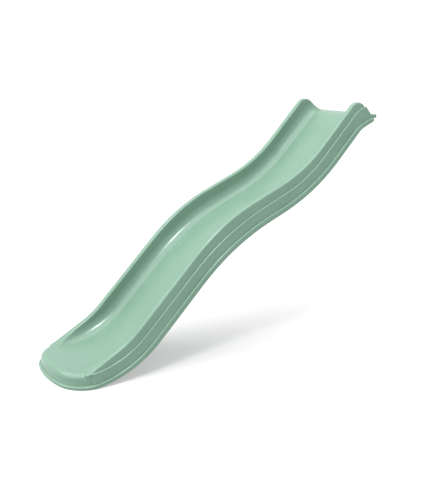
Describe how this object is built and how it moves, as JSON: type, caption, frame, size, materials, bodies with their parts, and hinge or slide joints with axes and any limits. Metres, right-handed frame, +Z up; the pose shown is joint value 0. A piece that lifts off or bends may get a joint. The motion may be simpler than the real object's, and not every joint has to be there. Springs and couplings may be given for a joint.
{
  "type": "wave slide",
  "caption": "Hollow plastic wave slide for a play platform: rounded toe on the ground, raised side walls, and a flat screwed-down lip at the top.",
  "frame": {"origin": "middle of the lip's underside, where the slide rests on its platform", "axes": "+Z up; +Y level, from the toe towards the platform; +X across the slide, to the right of a person who climbs it from the toe. X is 0 on the middle plane"},
  "size_m": [0.504, 1.797, 1.2193],
  "materials": {
    "mint_plastic": "glossy mint green polyethylene, coloured through, smooth mould finish",
    "zinc_steel": "bright zinc plate",
    "cap_plastic": "mint green snap caps",
    "plug_plastic": "soft mint green push-in plugs"
  },
  "bodies": {
    "root": {"slide_body": "mint_plastic", "lip_screws": "zinc_steel", "lip_washers": "zinc_steel", "lip_screw_caps": "cap_plastic", "blow_hole_plugs": "plug_plastic"}
  },
  "joints": []
}
